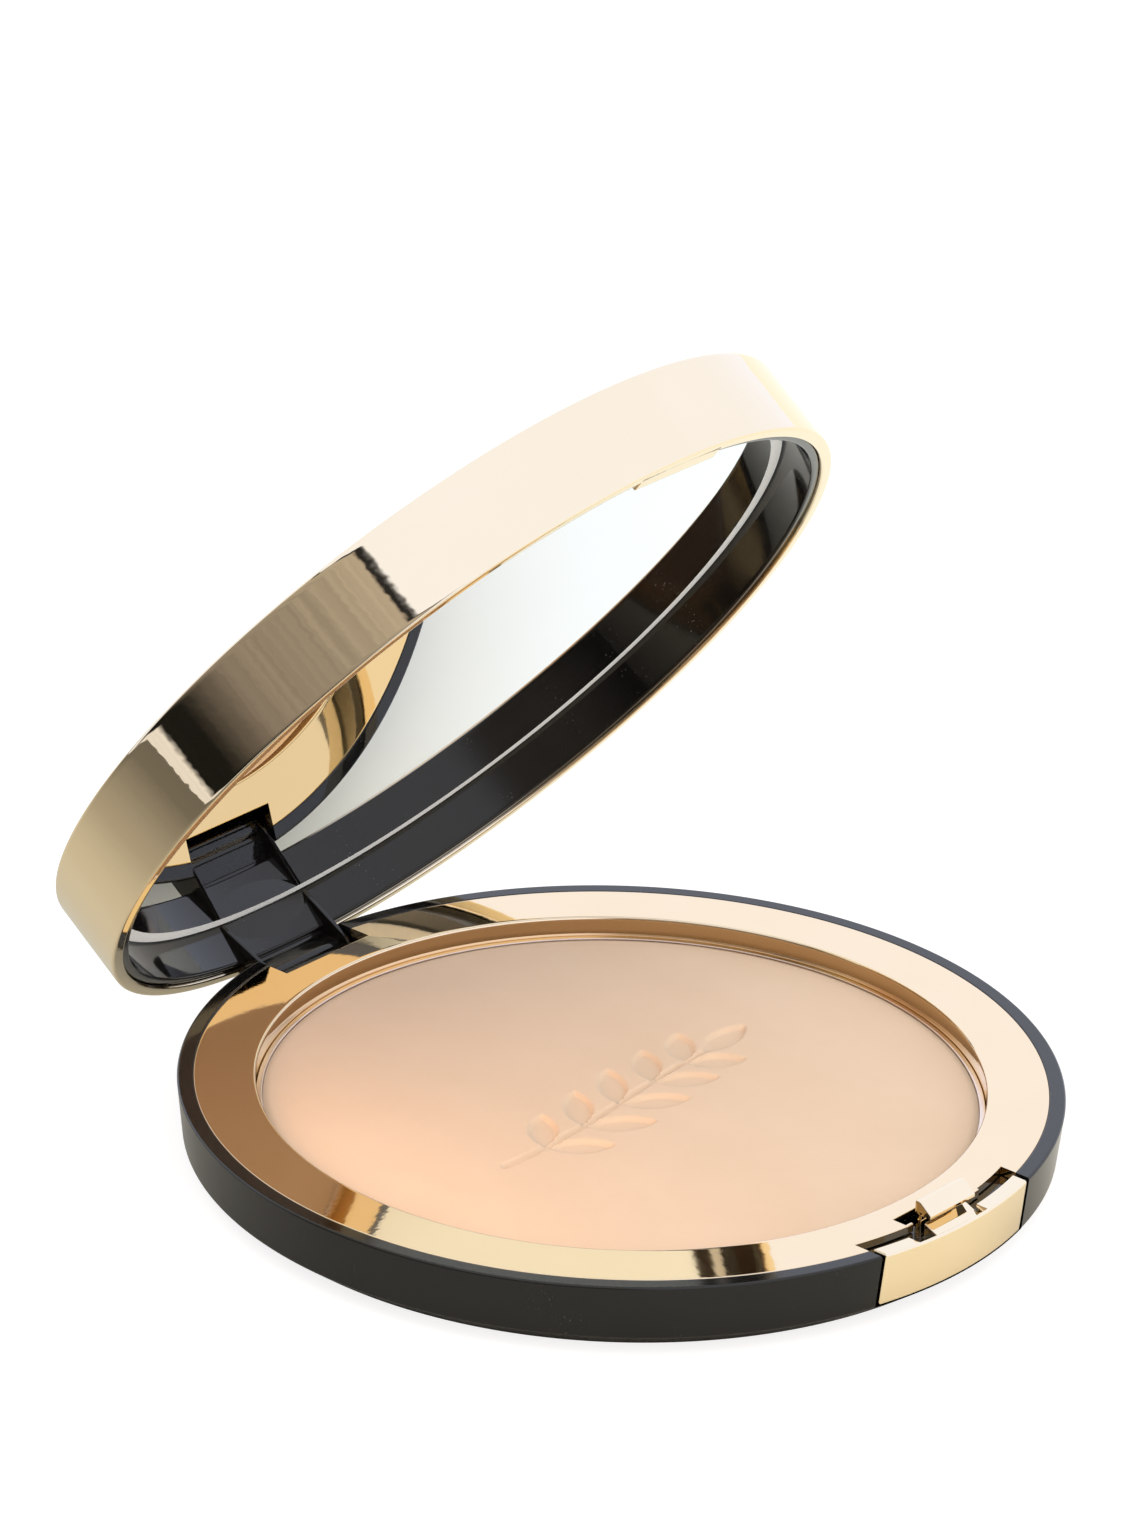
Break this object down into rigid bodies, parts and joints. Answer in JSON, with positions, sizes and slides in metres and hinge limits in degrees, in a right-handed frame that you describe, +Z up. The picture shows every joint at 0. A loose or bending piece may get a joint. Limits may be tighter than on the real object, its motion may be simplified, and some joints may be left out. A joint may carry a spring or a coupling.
{
  "type": "powder compact",
  "caption": "Round pressed-powder compact with a hinged mirror lid, gold-tone trim, black base and a sprung front push button with a catch.",
  "frame": {"origin": "centre of the base's underside, on the table", "axes": "+Z up, +Y towards the hinge, -Y towards the push button, X along the hinge axis"},
  "size_m": [0.08, 0.0891, 0.0742],
  "materials": {
    "black_gloss": "moulded, high gloss black",
    "gold_plate": "pale gold metallised, mirror polished",
    "powder": "pressed powder, matte peach beige",
    "pan_metal": "drawn sheet, satin",
    "mirror_glass": "silvered at the back, ground edge",
    "steel": "drawn, bright",
    "label_film": "plain printed film, no text",
    "foam_tape": "double-sided tape",
    "hot_glue": "soft clear-white adhesive",
    "top_acrylic": "high gloss black with fine engraved rings"
  },
  "bodies": {
    "base": {"base_shell": "black_gloss", "base_label": "label_film", "trim_ring": "gold_plate", "pan": "pan_metal", "powder_cake": "powder", "pan_glue": "hot_glue", "hinge_pin": "steel", "button_spring": "steel"},
    "button": {"button_cap": "gold_plate", "catch_slide": "gold_plate"},
    "lid": {"lid_shell": "gold_plate", "lid_liner": "black_gloss", "mirror": "mirror_glass", "mirror_tape": "foam_tape", "top_plate": "top_acrylic", "top_plate_tape": "foam_tape"}
  },
  "joints": [
    {"name": "lid_hinge", "type": "hinge", "parent": "base", "child": "lid", "pos_m": [0, 0.0382, 0.0038], "axis": [-1, 0, 0], "range_deg": [-54, 41]},
    {"name": "button_slide", "type": "slide", "parent": "base", "child": "button", "axis": [0, 1, 0], "range_m": [0, 0.0012], "stiffness_N_per_m": 800, "deforming": ["button_spring"]}
  ]
}
